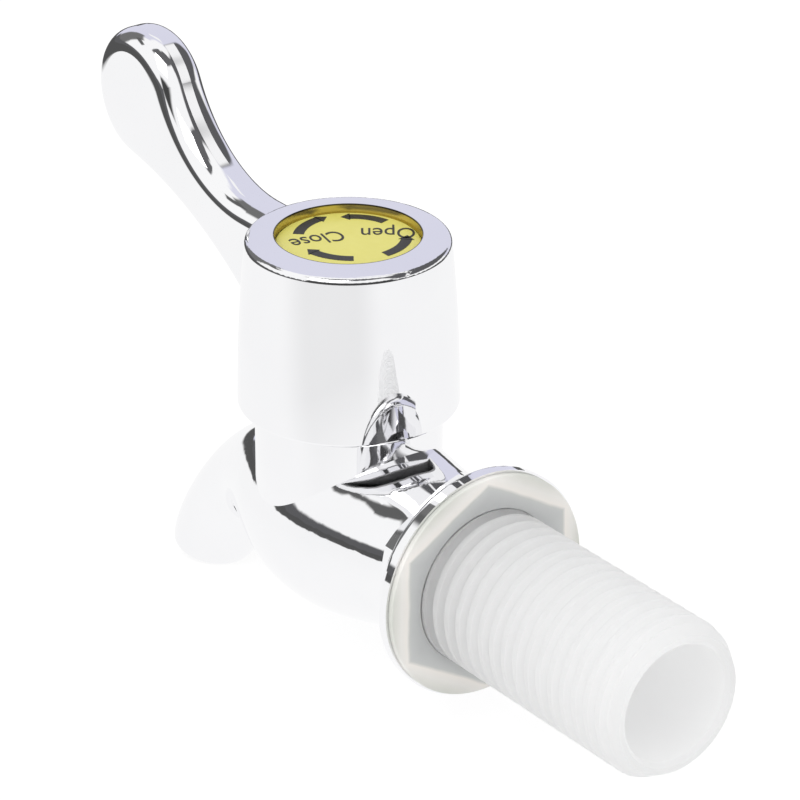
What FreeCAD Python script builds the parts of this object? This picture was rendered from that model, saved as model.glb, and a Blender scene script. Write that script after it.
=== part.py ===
import FreeCAD, Part
import math
import os

import Sketcher
from FreeCAD import Placement, Rotation, Vector

# Bottle tap with a quarter-turn plug valve.
# Frame: origin on the tail's axis, in the outer face of the flange's washer; the tail points
# along +X, the spout and the lever point along -X, and the plug's axis is vertical.
# Lengths along X are counted from the flange's front face, one washer behind the origin.

# Driving sizes, in millimetres and degrees
SIZES = {
    # Threaded tail tube
    "tail_radius": 8.0,
    "tail_relief_radius": 7.2,
    "tail_length": 29.2,
    "tail_bore": 6.0,
    "tail_inner_bore": 3.4,
    "tail_tip_radius": 7.0,
    "tail_tip_length": 1.7,
    "tail_lip": 0.4,
    "tail_spigot_radius": 6.4,
    "tail_spigot_length": 8.2,
    "tail_plate_across": 19.0,
    "tail_plate_thickness": 1.0,
    "tail_plate_depth": 0.2,
    "tail_seal_thickness": 1.2,
    # Round flange and hexagonal collar
    "flange_overhang": 1.7,
    "flange_thickness": 1.8,
    "flange_round": 0.9,
    "collar_across": 17.5,
    "collar_length": 2.9,
    "collar_chamfer": 0.5,
    "washer_inset": 0.25,
    "washer_thickness": 0.6,
    # Sections of the body, each counted from the one before it
    "arm_radius": 8.6,
    "shoulder_run": 10.7,
    "shoulder_fall": 0.5,
    "shoulder_radius": 9.15,
    "shoulder_lean": 3.5,
    "bulb_run": 8.0,
    "bulb_fall": 0.7,
    "bulb_radius": 10.05,
    "bulb_lean": 5.0,
    "nose_run": 8.5,
    "nose_fall": 0.75,
    "nose_radius": 8.5,
    "nose_lean": 9.0,
    "spout_run": 7.5,
    "spout_fall": 1.15,
    "spout_radius": 5.45,
    "spout_lean": 25.0,
    "bend_run": 6.1,
    "bend_fall": 5.25,
    "bend_radius": 4.55,
    "bend_lean": 53.0,
    "mouth_run": 3.9,
    "mouth_fall": 6.55,
    "mouth_radius": 4.35,
    "mouth_lean": 75.5,
    "spout_bore": 3.3,
    "mouth_bore": 3.45,
    "mouth_depth": 3.0,
    # Neck and valve chamber
    "plug_reach": 22.1,
    "neck_radius": 9.4,
    "neck_top": 17.6,
    "chamber_radius": 7.2,
    "chamber_floor": 7.9,
    "gland_bore": 8.0,
    "inlet_radius": 3.2,
    "seat_radius": 4.2,
    "seat_bore": 3.1,
    "seat_length": 2.0,
    # Plug and stem
    "port_radius": 3.0,
    "plug_shoulder": 9.4,
    "stem_radius": 4.2,
    "stem_step": 18.8,
    "stem_top": 23.3,
    "spline_root": 3.0,
    "spline_height": 0.5,
    "spline_width": 0.7,
    "spline_teeth": 12.0,
    "seal_height": 5.6,
    "seal_thickness": 1.5,
    "seal_side_gap": 0.3,
    "stop_travel": 90.0,
    "stop_reach": 7.8,
    "stop_width": 2.4,
    "stop_height": 1.5,
    # Gland
    "gland_slot_width": 2.2,
    "gland_slot_depth": 1.6,
    "gland_slots": 4.0,
    "gland_seal_height": 14.0,
    "thrust_thickness": 0.8,
    "thrust_radius": 6.9,
    # Cap and lever
    "skirt_bottom": 11.2,
    "skirt_radius": 11.1,
    "skirt_wall": 1.15,
    "skirt_round": 0.35,
    "skirt_bulge": 190.0,
    "cap_top": 28.8,
    "cap_top_radius": 10.2,
    "cap_round": 0.7,
    "rim_rise": 0.4,
    "rim_bore": 7.3,
    "disc_depth": 0.9,
    "disc_thickness": 1.2,
    "disc_ledge": 5.4,
    "disc_bevel": 0.2,
    "roof_thickness": 2.9,
    "ceiling_radius": 9.45,
    "hub_radius": 5.4,
    "rib_bottom": 19.2,
    "web_thickness": 1.5,
    "rib_thickness": 1.0,
    "rib_count": 6.0,
    "lever_thickness": 5.5,
    "lever_round": 2.2,
    "lever_reach": 34.3,
    "lever_height": 32.95,
    "lever_tip_radius": 7.1,
    "lever_top": 27.6,
    "lever_crook": 14.5,
    "lever_root": 12.5,
    "lever_belly": 46.0,
    # Handle screw
    "screw_radius": 1.45,
    "screw_length": 8.5,
    "screw_head_radius": 2.9,
    "screw_head_height": 1.4,
    "screw_slot_width": 0.7,
    "screw_slot_depth": 0.8,
    "screw_hole_depth": 7.4,
    "screw_washer_radius": 3.4,
    "screw_washer_thickness": 0.4,
    # Clearances
    "running_gap": 0.1,
    "seal_gap": 0.12,
    "fixed_gap": 0.05,
    "washer_gap": 0.1,
}

HEX_CORNER = 1 / math.sqrt(3)
DEGREES_PER_RADIAN = 180 / math.pi
CHAMFER_SLOPE = 1.7
STOP_SPARE = 1.0
OVERRUN = 1.0
TOUCH = 0.01
SHEET_NAME = "sizes"

doc = FreeCAD.newDocument("bottle_tap")
sheet = doc.addObject("Spreadsheet::Sheet", SHEET_NAME)


class Size:
    """A number together with the spreadsheet expression that gives it."""

    def __init__(self, value, text):
        self.value = value
        self.text = text

    @staticmethod
    def of(other):
        return other if isinstance(other, Size) else Size(float(other), repr(float(other)))

    def join(self, other, sign, value):
        return Size(value, f"({self.text} {sign} {Size.of(other).text})")

    def __add__(self, other):
        return self.join(other, "+", self.value + Size.of(other).value)

    def __radd__(self, other):
        return Size.of(other) + self

    def __sub__(self, other):
        return self.join(other, "-", self.value - Size.of(other).value)

    def __rsub__(self, other):
        return Size.of(other) - self

    def __mul__(self, other):
        return self.join(other, "*", self.value * Size.of(other).value)

    def __rmul__(self, other):
        return Size.of(other) * self

    def __truediv__(self, other):
        return self.join(other, "/", self.value / Size.of(other).value)

    def __neg__(self):
        return Size(-self.value, f"(-{self.text})")


class Sizes:
    """The named sizes, each as a Size bound to its own cell."""


def fill_sheet():
    sizes = Sizes()
    for row, (name, number) in enumerate(SIZES.items(), start=1):
        sheet.set(f"A{row}", name)
        sheet.set(f"B{row}", str(number))
        sheet.setAlias(f"B{row}", name)
        setattr(sizes, name, Size(number, f"{SHEET_NAME}.{name}"))
    doc.recompute()
    return sizes


s = fill_sheet()


def bind(thing, path, size):
    """Set a property from a size, as an expression."""
    thing.setExpression(path, Size.of(size).text)


def place(piece, x, z):
    """Put a piece's own origin at a place counted from the flange's front face."""
    bind(piece, "Placement.Base.x", Size.of(x) - s.washer_thickness)
    bind(piece, "Placement.Base.z", z)


def new_body(name, x=0, z=0):
    body = doc.addObject("PartDesign::Body", name)
    body.Label = name
    place(body, x, z)
    return body


def new_sketch(body, name, plane, shift=(0, 0, 0), axis=None, angle=None):
    """A sketch on one of the body's own planes, shifted and turned in its own directions."""
    sketch = body.newObject("Sketcher::SketchObject", name)
    role = next(item for item in body.Origin.OriginFeatures if item.Role == plane)
    sketch.AttachmentSupport = [(role, "")]
    sketch.MapMode = "FlatFace"
    if axis is not None:
        sketch.AttachmentOffset = Placement(Vector(), Rotation(axis, Size.of(angle).value))
        bind(sketch, "AttachmentOffset.Rotation.Angle", angle)
    for direction, amount in zip("xyz", shift):
        if isinstance(amount, Size):
            bind(sketch, f"AttachmentOffset.Base.{direction}", amount)
    return sketch


def fix_point(sketch, curve, end, x, y):
    """Tie a sketch point to its two coordinates."""
    for kind, amount, axis in (("DistanceX", x, -2), ("DistanceY", y, -1)):
        if isinstance(amount, Size):
            index = sketch.addConstraint(Sketcher.Constraint(kind, curve, end, amount.value))
            bind(sketch, f"Constraints[{index}]", amount)
        else:
            sketch.addConstraint(Sketcher.Constraint("PointOnObject", curve, end, axis))


def fix_radius(sketch, curve, radius):
    index = sketch.addConstraint(Sketcher.Constraint("Radius", curve, radius.value))
    bind(sketch, f"Constraints[{index}]", radius)


def arc_round(centre, start, end):
    """The counter-clockwise arc between two points round a centre."""
    out, back = start - centre, end - centre
    circle = Part.Circle(centre, Vector(0, 0, 1), out.Length)
    return Part.ArcOfCircle(circle, math.atan2(out.y, out.x), math.atan2(back.y, back.x))


def bulging(start, end, radius):
    """The short arc of a given radius that bulges to the right of its travel."""
    chord = end - start
    inward = Vector(-chord.y, chord.x, 0).normalize()
    depth = math.sqrt(radius ** 2 - chord.Length ** 2 / 4)
    return arc_round((start + end) / 2 + inward * depth, start, end)


def draw_outline(sketch, corners):
    """A closed outline; a corner with a third entry starts an arc of that radius."""
    points = [Vector(Size.of(x).value, Size.of(y).value, 0) for x, y, *_ in corners]
    for index, corner in enumerate(corners):
        start, end = points[index], points[(index + 1) % len(points)]
        if len(corner) == 3:
            sketch.addGeometry(bulging(start, end, corner[2].value))
        else:
            sketch.addGeometry(Part.LineSegment(start, end))
    for index, corner in enumerate(corners):
        before = (index - 1) % len(corners)
        sketch.addConstraint(Sketcher.Constraint("Coincident", before, 2, index, 1))
        fix_point(sketch, index, 1, corner[0], corner[1])
        if len(corner) == 3:
            fix_radius(sketch, index, corner[2])


def draw_circle(sketch, radius):
    centre = Vector(0, 0, 0)
    curve = sketch.addGeometry(Part.Circle(centre, Vector(0, 0, 1), radius.value))
    sketch.addConstraint(Sketcher.Constraint("Coincident", curve, 3, -1, 1))
    fix_radius(sketch, curve, radius)


def rectangle(left, bottom, right, top):
    return [(left, bottom), (right, bottom), (right, top), (left, top)]


def hexagon(across):
    """A hexagon with two upright sides, its size across the flats."""
    half = across / 2
    corner = across * HEX_CORNER
    return [
        (half, -corner / 2),
        (half, corner / 2),
        (0, corner),
        (-half, corner / 2),
        (-half, -corner / 2),
        (0, -corner),
    ]


def turned(body, kind, name, sketch, axis, angle=360.0):
    """A revolution or a groove about an axis of its sketch."""
    feature = body.newObject(f"PartDesign::{kind}", name)
    feature.Profile = sketch
    feature.ReferenceAxis = (sketch, [axis])
    if isinstance(angle, Size):
        bind(feature, "Angle", angle)
    else:
        feature.Angle = angle
    return feature


def extruded(body, kind, name, sketch, length, midplane=False, backwards=False):
    """A pad or a pocket of one sketch."""
    feature = body.newObject(f"PartDesign::{kind}", name)
    feature.Profile = sketch
    bind(feature, "Length", length)
    feature.Midplane = midplane
    feature.Reversed = backwards
    return feature


def spun(body, name, corners, axis="V_Axis", kind="Revolution"):
    """A turned feature from one half outline in the upright plane."""
    sketch = new_sketch(body, f"{name}_outline", "XZ_Plane")
    draw_outline(sketch, corners)
    return turned(body, kind, name, sketch, axis)


def repeated(body, name, feature, count, axis_holder):
    """Copies of a feature round the upright axis of a sketch."""
    pattern = body.newObject("PartDesign::PolarPattern", name)
    pattern.Originals = [feature]
    pattern.Axis = (axis_holder, ["N_Axis"])
    pattern.Angle = 360
    bind(pattern, "Occurrences", count)
    body.Tip = pattern
    return pattern


def rounded(body, name, base, test, radius, kind="Fillet"):
    """A fillet or chamfer on the edges that pass a test."""
    doc.recompute()
    names = [f"Edge{i + 1}" for i, edge in enumerate(base.Shape.Edges) if test(edge)]
    feature = body.newObject(f"PartDesign::{kind}", name)
    feature.Base = (base, names)
    bind(feature, "Radius" if kind == "Fillet" else "Size", radius)
    return feature


def rim_of(radius, axis, place):
    """A test for the circular edge of one radius at one place along an axis."""
    def test(edge):
        if not isinstance(edge.Curve, Part.Circle):
            return False
        along = getattr(edge.Curve.Center, axis)
        return abs(edge.Curve.Radius - radius.value) < TOUCH and abs(along - place.value) < TOUCH
    return test


def flat_ring(name, outer, inner, thickness, x, z, plane="XY_Plane"):
    body = new_body(name, x, z)
    sketch = new_sketch(body, f"{name}_rings", plane)
    draw_circle(sketch, outer)
    draw_circle(sketch, inner)
    extruded(body, "Pad", f"{name}_ring", sketch, thickness)
    return body


def o_ring(name, centre_radius, thickness, x, z, along_x=False):
    ring = doc.addObject("Part::Torus", name)
    ring.Label = name
    if along_x:
        ring.Placement = Placement(Vector(), Rotation(Vector(0, 1, 0), 90))
    bind(ring, "Radius1", centre_radius)
    bind(ring, "Radius2", thickness / 2)
    place(ring, x, z)
    return ring


# Places that several pieces share
COLLAR_CORNER = s.collar_across * HEX_CORNER
FLANGE_RADIUS = COLLAR_CORNER + s.flange_overhang
WASHER_RADIUS = FLANGE_RADIUS - s.washer_inset
PLUG_AXIS = -s.plug_reach
PLUG_RADIUS = s.chamber_radius - s.running_gap
PLUG_BOTTOM = s.running_gap - s.chamber_floor
GLAND_SEAT = s.plug_shoulder + s.running_gap + s.thrust_thickness
SEAT_POCKET = s.chamber_radius + s.seat_length
SPIGOT_BORE = s.tail_spigot_radius + s.fixed_gap
PLATE_BACK = -(s.tail_plate_depth + s.tail_plate_thickness)
SPIGOT_END = PLATE_BACK - s.tail_spigot_length
WEB_BOTTOM = s.stem_top + s.running_gap
WEB_TOP = WEB_BOTTOM + s.web_thickness
RIM_TOP = s.cap_top + s.rim_rise
DISC_SEAT = RIM_TOP - s.disc_depth - s.disc_thickness
CEILING = DISC_SEAT - s.roof_thickness
SCREW_HOLE = s.screw_radius + s.fixed_gap


# Valve body

def body_stations():
    """Sections of the body from the collar to the mouth: reach, drop, radius and lean."""
    steps = [
        (s.shoulder_run, s.shoulder_fall, s.shoulder_radius, s.shoulder_lean),
        (s.bulb_run, s.bulb_fall, s.bulb_radius, s.bulb_lean),
        (s.nose_run, s.nose_fall, s.nose_radius, s.nose_lean),
        (s.spout_run, s.spout_fall, s.spout_radius, s.spout_lean),
        (s.bend_run, s.bend_fall, s.bend_radius, s.bend_lean),
        (s.mouth_run, s.mouth_fall, s.mouth_radius, s.mouth_lean),
    ]
    reach, drop = s.flange_thickness, Size.of(0)
    stations = [(reach, drop, s.arm_radius, 0)]
    for run, fall, radius, lean in steps:
        reach, drop = reach + run, drop + fall
        stations.append((reach, drop, radius, lean))
    return stations


def cross_section(body, name, reach, drop, radius, lean):
    """A circle across the body, leaning forwards from upright."""
    leans = isinstance(lean, Size)
    shift = (0, -Size.of(drop), -reach)
    sketch = new_sketch(
        body, name, "YZ_Plane", shift, Vector(1, 0, 0) if leans else None, -lean if leans else None
    )
    draw_circle(sketch, radius)
    return sketch


def add_arm_bulb_and_spout(body):
    """One smooth casting form through all the stations."""
    sections = [
        cross_section(body, f"section_{number}", *station)
        for number, station in enumerate(body_stations(), start=1)
    ]
    loft = body.newObject("PartDesign::AdditiveLoft", "arm_bulb_spout")
    loft.Profile = sections[0]
    loft.Sections = sections[1:]


def add_collar_and_flange(body):
    back = -(s.flange_thickness + s.collar_length)
    collar = new_sketch(body, "collar_hexagon", "YZ_Plane", (0, 0, back))
    draw_outline(collar, hexagon(s.collar_across))
    extruded(body, "Pad", "collar", collar, s.collar_length)
    chamfer = new_sketch(body, "collar_chamfer_outline", "XZ_Plane")
    draw_outline(chamfer, [
        (back - OVERRUN, COLLAR_CORNER - CHAMFER_SLOPE * s.collar_chamfer),
        (back, COLLAR_CORNER - CHAMFER_SLOPE * s.collar_chamfer),
        (back + s.collar_chamfer, COLLAR_CORNER),
        (back + s.collar_chamfer, COLLAR_CORNER + OVERRUN),
        (back - OVERRUN, COLLAR_CORNER + OVERRUN),
    ])
    turned(body, "Groove", "collar_chamfer", chamfer, "H_Axis")
    flange = new_sketch(body, "flange_circle", "YZ_Plane", (0, 0, -s.flange_thickness))
    draw_circle(flange, FLANGE_RADIUS)
    disc = extruded(body, "Pad", "flange", flange, s.flange_thickness)
    rounded(body, "flange_edge", disc, rim_of(FLANGE_RADIUS, "x", -s.flange_thickness), s.flange_round)


def cut_chamber(body):
    """The plug's bore from the top of the neck, with the gland's wider bore above it."""
    bore = new_sketch(body, "chamber_outline", "XZ_Plane", (PLUG_AXIS, 0, 0))
    gland_bore = s.gland_bore + s.fixed_gap
    draw_outline(bore, [
        (0, -s.chamber_floor),
        (s.chamber_radius, -s.chamber_floor),
        (s.chamber_radius, GLAND_SEAT),
        (gland_bore, GLAND_SEAT),
        (gland_bore, s.neck_top + OVERRUN),
        (0, s.neck_top + OVERRUN),
    ])
    turned(body, "Groove", "chamber", bore, "V_Axis")


def cut_stop_slot(body):
    """A quarter-turn slot in the chamber's wall, in which the plug's stop travels."""
    spare = stop_half_angle() + STOP_SPARE
    slot = new_sketch(
        body, "stop_slot_outline", "XZ_Plane", (PLUG_AXIS, 0, 0), Vector(0, 1, 0), -spare
    )
    bottom = s.plug_shoulder - s.stop_height - s.running_gap
    draw_outline(slot, rectangle(
        s.chamber_radius - OVERRUN, bottom, s.gland_bore + s.fixed_gap, GLAND_SEAT
    ))
    turned(body, "Groove", "stop_slot", slot, "V_Axis", s.stop_travel + 2 * spare)


def stop_half_angle():
    """Half of the angle that the stop's width takes up at the chamber's wall, in degrees."""
    return s.stop_width / (2 * s.chamber_radius) * DEGREES_PER_RADIAN


def cut_inlet(body):
    """The seat's pocket, the passage, the spigot's bore and the hexagonal seat for the tail's plate."""
    pocket = PLUG_AXIS + SEAT_POCKET
    bore = new_sketch(body, "inlet_outline", "XZ_Plane")
    draw_outline(bore, [
        (PLUG_AXIS, 0),
        (PLUG_AXIS, s.seat_radius + s.fixed_gap),
        (pocket, s.seat_radius + s.fixed_gap),
        (pocket, s.inlet_radius),
        (SPIGOT_END - s.fixed_gap, s.inlet_radius),
        (SPIGOT_END - s.fixed_gap, SPIGOT_BORE),
        (Size.of(OVERRUN), SPIGOT_BORE),
        (Size.of(OVERRUN), 0),
    ])
    turned(body, "Groove", "inlet", bore, "H_Axis")
    plate = new_sketch(body, "plate_seat_hexagon", "YZ_Plane")
    draw_outline(plate, hexagon(s.tail_plate_across + 2 * s.fixed_gap))
    extruded(body, "Pocket", "plate_seat", plate, -PLATE_BACK)


def cut_outlet(body):
    """The outlet seat's pocket, the spout's bore along the same stations and the straight mouth."""
    pocket = PLUG_AXIS - SEAT_POCKET
    seat = new_sketch(body, "outlet_pocket_outline", "XZ_Plane")
    draw_outline(seat, [
        (pocket, 0),
        (PLUG_AXIS, 0),
        (PLUG_AXIS, s.seat_radius + s.fixed_gap),
        (pocket, s.seat_radius + s.fixed_gap),
    ])
    turned(body, "Groove", "outlet_pocket", seat, "H_Axis")
    sections = [cross_section(body, "bore_section_1", -pocket, 0, s.spout_bore, 0)]
    for number, (reach, drop, _, lean) in enumerate(body_stations()[-3:], start=2):
        sections.append(cross_section(body, f"bore_section_{number}", reach, drop, s.spout_bore, lean))
    bore = body.newObject("PartDesign::SubtractiveLoft", "spout_bore")
    bore.Profile = sections[0]
    bore.Sections = sections[1:]
    reach, drop, _, lean = body_stations()[-1]
    circle = cross_section(body, "mouth_circle", reach, drop, s.mouth_bore, lean)
    extruded(body, "Pocket", "mouth", circle, 2 * s.mouth_depth, midplane=True)


def build_valve_body():
    body = new_body("valve_body")
    add_arm_bulb_and_spout(body)
    neck = new_sketch(body, "neck_circle", "XY_Plane", (PLUG_AXIS, 0, 0))
    draw_circle(neck, s.neck_radius)
    extruded(body, "Pad", "neck", neck, s.neck_top)
    add_collar_and_flange(body)
    cut_chamber(body)
    cut_stop_slot(body)
    cut_inlet(body)
    cut_outlet(body)
    return body


# Tail tube, its seal and the flange washer

def build_tail_tube():
    """Threaded tube with a hexagonal plate that keys it into the flange."""
    body = new_body("tail_tube")
    seal_middle = (SPIGOT_END + PLATE_BACK) / 2
    half_groove = (s.tail_seal_thickness + s.seal_side_gap) / 2
    groove_root = SPIGOT_BORE - s.tail_seal_thickness - 2 * s.fixed_gap
    front = -s.tail_plate_depth
    relief_end = s.washer_thickness + s.fixed_gap
    spun(body, "tube", [
        (SPIGOT_END, s.tail_inner_bore),
        (SPIGOT_END, s.tail_spigot_radius),
        (seal_middle - half_groove, s.tail_spigot_radius),
        (seal_middle - half_groove, groove_root),
        (seal_middle + half_groove, groove_root),
        (seal_middle + half_groove, s.tail_spigot_radius),
        (PLATE_BACK, s.tail_spigot_radius),
        (PLATE_BACK, s.tail_relief_radius),
        (relief_end, s.tail_relief_radius),
        (relief_end, s.tail_radius),
        (s.tail_length - s.tail_tip_length, s.tail_radius),
        (s.tail_length, s.tail_tip_radius),
        (s.tail_length, s.tail_bore + s.tail_lip),
        (s.tail_length - s.tail_lip, s.tail_bore),
        (front, s.tail_bore),
        (front, s.tail_inner_bore),
    ], "H_Axis")
    plate = new_sketch(body, "plate_hexagon", "YZ_Plane", (0, 0, PLATE_BACK))
    draw_outline(plate, hexagon(s.tail_plate_across))
    draw_circle(plate, s.tail_spigot_radius)
    extruded(body, "Pad", "plate", plate, s.tail_plate_thickness)
    return body


def build_tail_seal():
    radius = SPIGOT_BORE - s.fixed_gap - s.tail_seal_thickness / 2
    return o_ring("tail_o_ring", radius, s.tail_seal_thickness, (SPIGOT_END + PLATE_BACK) / 2, 0, True)


def build_flange_washer():
    return flat_ring(
        "flange_washer", WASHER_RADIUS, s.tail_radius + s.washer_gap, s.washer_thickness, 0, 0, "YZ_Plane"
    )


# Plug, its seals and the port seats

def build_rotor_plug():
    """Plug with a cross port, two seal grooves, a stop, a stem and a splined end."""
    body = new_body("rotor_plug", PLUG_AXIS)
    root = s.chamber_radius - 2 * s.seal_gap - s.seal_thickness
    half = (s.seal_thickness + s.seal_side_gap) / 2
    spun(body, "plug", [
        (0, PLUG_BOTTOM),
        (PLUG_RADIUS, PLUG_BOTTOM),
        (PLUG_RADIUS, -s.seal_height - half),
        (root, -s.seal_height - half),
        (root, half - s.seal_height),
        (PLUG_RADIUS, half - s.seal_height),
        (PLUG_RADIUS, s.seal_height - half),
        (root, s.seal_height - half),
        (root, s.seal_height + half),
        (PLUG_RADIUS, s.seal_height + half),
        (PLUG_RADIUS, s.plug_shoulder),
        (s.stem_radius, s.plug_shoulder),
        (s.stem_radius, s.stem_step),
        (s.spline_root, s.stem_step),
        (s.spline_root, s.stem_top),
        (SCREW_HOLE, s.stem_top),
        (SCREW_HOLE, s.stem_top - s.screw_hole_depth),
        (0, s.stem_top - s.screw_hole_depth),
    ])
    port = new_sketch(body, "port_circle", "XZ_Plane")
    draw_circle(port, s.port_radius)
    extruded(body, "Pocket", "port", port, 2 * s.chamber_radius + OVERRUN, midplane=True)
    stop = new_sketch(body, "stop_outline", "XY_Plane", (0, 0, s.plug_shoulder - s.stop_height))
    draw_outline(stop, rectangle(
        PLUG_RADIUS - OVERRUN, -s.stop_width / 2, s.stop_reach, s.stop_width / 2
    ))
    extruded(body, "Pad", "stop", stop, s.stop_height)
    tooth = new_sketch(body, "tooth_outline", "XY_Plane", (0, 0, s.stem_step))
    draw_outline(tooth, rectangle(
        s.spline_root - s.spline_height, -s.spline_width / 2,
        s.spline_root + s.spline_height, s.spline_width / 2,
    ))
    first = extruded(body, "Pad", "tooth", tooth, s.stem_top - s.stem_step)
    repeated(body, "teeth", first, s.spline_teeth, tooth)
    return body


def build_plug_seal(name, height):
    radius = s.chamber_radius - s.seal_gap - s.seal_thickness / 2
    return o_ring(name, radius, s.seal_thickness, PLUG_AXIS, height)


def build_port_seat(name, facing):
    """Silicone sleeve in the chamber's wall, its inner face hollowed to the plug."""
    body = new_body(name, PLUG_AXIS)
    body.Placement.Rotation = Rotation(Vector(0, 0, 1), facing)
    start = s.chamber_radius - s.seat_length
    rings = new_sketch(body, f"{name}_rings", "YZ_Plane", (0, 0, start))
    draw_circle(rings, s.seat_radius)
    draw_circle(rings, s.seat_bore)
    extruded(body, "Pad", f"{name}_sleeve", rings, 2 * s.seat_length - s.fixed_gap)
    hollow = new_sketch(body, f"{name}_hollow_circle", "XY_Plane")
    draw_circle(hollow, s.chamber_radius)
    extruded(body, "Pocket", f"{name}_hollow", hollow, 2 * s.seat_radius + OVERRUN, midplane=True)
    return body


# Gland that holds the plug down

def build_thrust_washer():
    return flat_ring(
        "thrust_washer", s.thrust_radius, s.stem_radius + s.running_gap, s.thrust_thickness,
        PLUG_AXIS, s.plug_shoulder + s.running_gap,
    )


def build_gland_nut():
    """Threaded bush in the neck, with a seal groove round the stem and slots for a key."""
    body = new_body("gland_nut", PLUG_AXIS)
    bore = s.stem_radius + s.running_gap
    root = s.stem_radius + 2 * s.seal_gap + s.seal_thickness
    half = (s.seal_thickness + s.seal_side_gap) / 2
    spun(body, "gland", [
        (bore, GLAND_SEAT),
        (s.gland_bore, GLAND_SEAT),
        (s.gland_bore, s.neck_top),
        (bore, s.neck_top),
        (bore, s.gland_seal_height + half),
        (root, s.gland_seal_height + half),
        (root, s.gland_seal_height - half),
        (bore, s.gland_seal_height - half),
    ])
    slot = new_sketch(body, "slot_outline", "XY_Plane", (0, 0, s.neck_top))
    draw_outline(slot, rectangle(
        root, -s.gland_slot_width / 2, s.gland_bore + OVERRUN, s.gland_slot_width / 2
    ))
    first = extruded(body, "Pocket", "slot", slot, s.gland_slot_depth)
    repeated(body, "slots", first, s.gland_slots, slot)
    return body


def build_gland_seal():
    radius = s.stem_radius + s.seal_gap + s.seal_thickness / 2
    return o_ring("gland_o_ring", radius, s.seal_thickness, PLUG_AXIS, s.gland_seal_height)


# Handle and what holds it

def add_cap(body):
    """Cap with its skirt, crowned rim, disc recess, screw pocket and splined hub."""
    cap = spun(body, "cap", [
        (s.skirt_radius - s.skirt_wall, s.skirt_bottom),
        (s.skirt_radius, s.skirt_bottom, s.skirt_bulge),
        (s.cap_top_radius, s.cap_top),
        (s.rim_bore, RIM_TOP),
        (s.rim_bore, DISC_SEAT),
        (s.disc_ledge, DISC_SEAT),
        (s.disc_ledge, WEB_TOP),
        (SCREW_HOLE, WEB_TOP),
        (SCREW_HOLE, WEB_BOTTOM),
        (s.spline_root + s.fixed_gap, WEB_BOTTOM),
        (s.spline_root + s.fixed_gap, s.stem_step),
        (s.hub_radius, s.stem_step),
        (s.hub_radius, CEILING),
        (s.ceiling_radius, CEILING),
    ])
    edged = rounded(body, "cap_edge", cap, rim_of(s.cap_top_radius, "z", s.cap_top), s.cap_round)
    rounded(body, "skirt_edge", edged, rim_of(s.skirt_radius, "z", s.skirt_bottom), s.skirt_round)
    groove = new_sketch(body, "groove_outline", "XY_Plane", (0, 0, s.stem_step))
    draw_outline(groove, rectangle(
        s.spline_root - s.spline_height, -s.spline_width / 2 - s.fixed_gap,
        s.spline_root + s.spline_height + s.fixed_gap, s.spline_width / 2 + s.fixed_gap,
    ))
    first = extruded(body, "Pocket", "groove", groove, WEB_BOTTOM - s.stem_step, backwards=True)
    repeated(body, "grooves", first, s.spline_teeth, groove)
    rib = new_sketch(body, "rib_outline", "XY_Plane", (0, 0, s.rib_bottom))
    draw_outline(rib, rectangle(
        s.hub_radius - s.rib_thickness / 2, -s.rib_thickness / 2,
        s.ceiling_radius + s.rib_thickness / 2, s.rib_thickness / 2,
    ))
    web = extruded(body, "Pad", "rib", rib, CEILING - s.rib_bottom)
    repeated(body, "ribs", web, s.rib_count, rib)


def draw_lever(sketch):
    """Upright blade: belly arc, round tip, crook arc and a flat run into the cap."""
    root_x = s.skirt_wall - s.skirt_radius - s.fixed_gap
    tip = Vector(-s.lever_reach.value, s.lever_height.value, 0)
    low = Vector(root_x.value, s.lever_root.value, 0)
    high = Vector(root_x.value, s.lever_top.value, 0)
    crook_start = Vector(-s.lever_crook.value, s.lever_top.value, 0)
    tip_radius, belly_radius = s.lever_tip_radius.value, s.lever_belly.value
    belly_centre = lower_meeting(low, belly_radius, tip, belly_radius + tip_radius)
    crook_centre = crook_start + Vector(0, crook_radius(crook_start, tip, tip_radius), 0)
    belly_end = tip + (belly_centre - tip).normalize() * tip_radius
    crook_end = tip + (crook_centre - tip).normalize() * tip_radius
    belly = sketch.addGeometry(arc_round(belly_centre, low, belly_end))
    nose = sketch.addGeometry(arc_round(tip, crook_end, belly_end))
    crook = sketch.addGeometry(arc_round(crook_centre, crook_end, crook_start))
    top = sketch.addGeometry(Part.LineSegment(crook_start, high))
    root = sketch.addGeometry(Part.LineSegment(high, low))
    sketch.addConstraint([
        Sketcher.Constraint("Tangent", belly, 2, nose, 2),
        Sketcher.Constraint("Tangent", nose, 1, crook, 1),
        Sketcher.Constraint("Tangent", crook, 2, top, 1),
        Sketcher.Constraint("Coincident", top, 2, root, 1),
        Sketcher.Constraint("Coincident", root, 2, belly, 1),
    ])
    fix_point(sketch, nose, 3, -s.lever_reach, s.lever_height)
    fix_radius(sketch, nose, s.lever_tip_radius)
    fix_radius(sketch, belly, s.lever_belly)
    fix_point(sketch, top, 1, -s.lever_crook, s.lever_top)
    fix_point(sketch, root, 1, root_x, s.lever_top)
    fix_point(sketch, root, 2, root_x, s.lever_root)


def lower_meeting(first, first_radius, second, second_radius):
    """The lower of the two points at given distances from two others."""
    gap = second - first
    along = (first_radius ** 2 - second_radius ** 2 + gap.Length ** 2) / (2 * gap.Length)
    across = math.sqrt(first_radius ** 2 - along ** 2)
    unit = Vector(gap).normalize()
    side = Vector(-unit.y, unit.x, 0)
    foot = first + unit * along
    return min(foot + side * across, foot - side * across, key=lambda point: point.y)


def crook_radius(start, tip, tip_radius):
    """Radius of the arc that leaves a level run at its start and flows into the round tip."""
    rise = tip.y - start.y
    run = start.x - tip.x
    return (run ** 2 + rise ** 2 - tip_radius ** 2) / (2 * (rise + tip_radius))


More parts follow.
